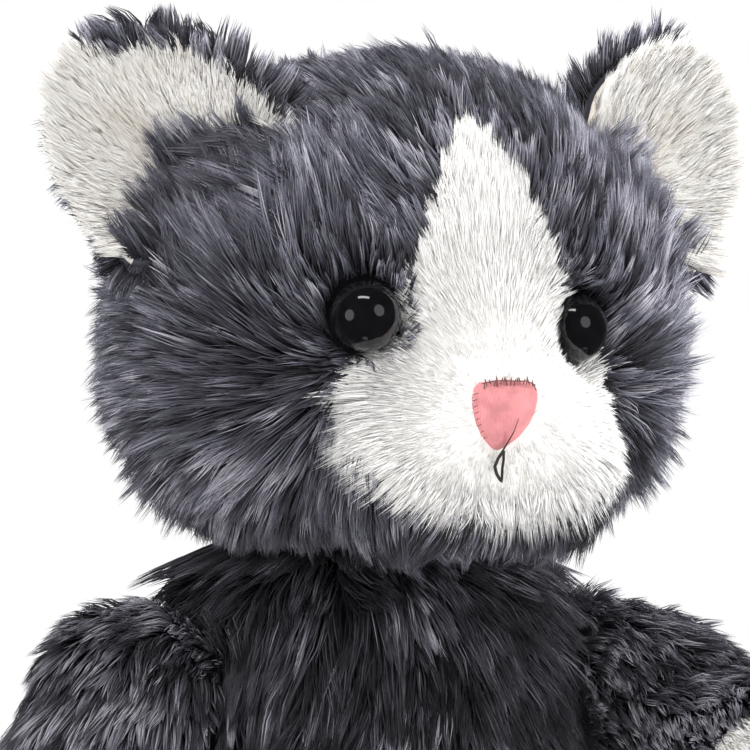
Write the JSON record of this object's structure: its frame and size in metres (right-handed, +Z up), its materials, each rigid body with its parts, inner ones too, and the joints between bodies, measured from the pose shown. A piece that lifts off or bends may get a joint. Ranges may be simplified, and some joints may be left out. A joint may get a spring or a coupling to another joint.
{
  "type": "plush cat",
  "caption": "Seated long-pile plush cat in charcoal grey and white with black domed eyes and a pink nose; disc joints let the head, arms and legs turn.",
  "frame": {"origin": "centre of the seat's flat underside, on the surface it sits on", "axes": "+Z up, the cat faces -Y, its own left side is +X"},
  "size_m": [0.2012, 0.234, 0.2819],
  "materials": {
    "fur_grey": "long-pile blue-grey plush",
    "fur_dark": "long-pile charcoal plush",
    "fur_white": "short warm white plush",
    "ear_lining": "short off-white plush",
    "eye_black": "glossy black",
    "washer_plastic": "natural white",
    "nose_cloth": "salmon pink knit cloth",
    "stitch_thread": "dark embroidery thread",
    "joint_disc": "brown fibreboard",
    "lock_steel": "plain steel",
    "stuffing": "polyester fibre",
    "sole_cloth": "short-pile pale pink cloth"
  },
  "bodies": {
    "torso": {"torso_front": "fur_dark", "torso_back_right": "fur_dark", "torso_back_left": "fur_dark", "torso_base": "fur_dark", "torso_stuffing": "stuffing", "tail_skin": "fur_grey", "tail_stuffing": "stuffing", "neck_washer": "joint_disc", "shoulder_washer_right": "joint_disc", "shoulder_washer_left": "joint_disc", "hip_washer_right": "joint_disc", "hip_washer_left": "joint_disc"},
    "head": {"head_side_right": "fur_grey", "head_side_left": "fur_grey", "head_back": "fur_grey", "blaze_panel": "fur_white", "muzzle_panel": "fur_white", "head_stuffing": "stuffing", "ear_back_right": "fur_grey", "ear_back_left": "fur_grey", "ear_lining_right": "ear_lining", "ear_lining_left": "ear_lining", "eye_right": "eye_black", "eye_left": "eye_black", "eye_washer_right": "washer_plastic", "eye_washer_left": "washer_plastic", "nose_pad": "nose_cloth", "mouth_stitch": "stitch_thread", "neck_post_disc": "joint_disc", "neck_lock_washer": "lock_steel"},
    "arm_right": {"arm_sleeve_right": "fur_dark", "paw_right": "fur_white", "arm_stuffing_right": "stuffing", "shoulder_post_disc_right": "joint_disc", "shoulder_lock_washer_right": "lock_steel"},
    "leg_right": {"leg_sleeve_right": "fur_dark", "foot_right": "fur_white", "sole_right": "sole_cloth", "leg_stuffing_right": "stuffing", "hip_post_disc_right": "joint_disc", "hip_lock_washer_right": "lock_steel"},
    "arm_left": {"arm_sleeve_left": "fur_dark", "paw_left": "fur_white", "arm_stuffing_left": "stuffing", "shoulder_post_disc_left": "joint_disc", "shoulder_lock_washer_left": "lock_steel"},
    "leg_left": {"leg_sleeve_left": "fur_dark", "foot_left": "fur_white", "sole_left": "sole_cloth", "leg_stuffing_left": "stuffing", "hip_post_disc_left": "joint_disc", "hip_lock_washer_left": "lock_steel"}
  },
  "joints": [
    {"name": "neck_swivel", "type": "hinge", "parent": "torso", "child": "head", "pos_m": [0, 0, 0.168], "axis": [0, 0, 1], "continuous": true},
    {"name": "shoulder_right_swing", "type": "hinge", "parent": "torso", "child": "arm_right", "pos_m": [-0.0439, 0, 0.1279], "axis": [-0.9397, 0, 0.342], "range_deg": [-35, 95]},
    {"name": "shoulder_left_swing", "type": "hinge", "parent": "torso", "child": "arm_left", "pos_m": [0.0439, 0, 0.1279], "axis": [-0.9397, 0, -0.342], "range_deg": [-113, 17]},
    {"name": "hip_right_swing", "type": "hinge", "parent": "torso", "child": "leg_right", "pos_m": [-0.038, 0, 0.026], "axis": [1, 0, 0], "range_deg": [0, 90]},
    {"name": "hip_left_swing", "type": "hinge", "parent": "torso", "child": "leg_left", "pos_m": [0.038, 0, 0.026], "axis": [1, 0, 0], "range_deg": [0, 90]}
  ]
}
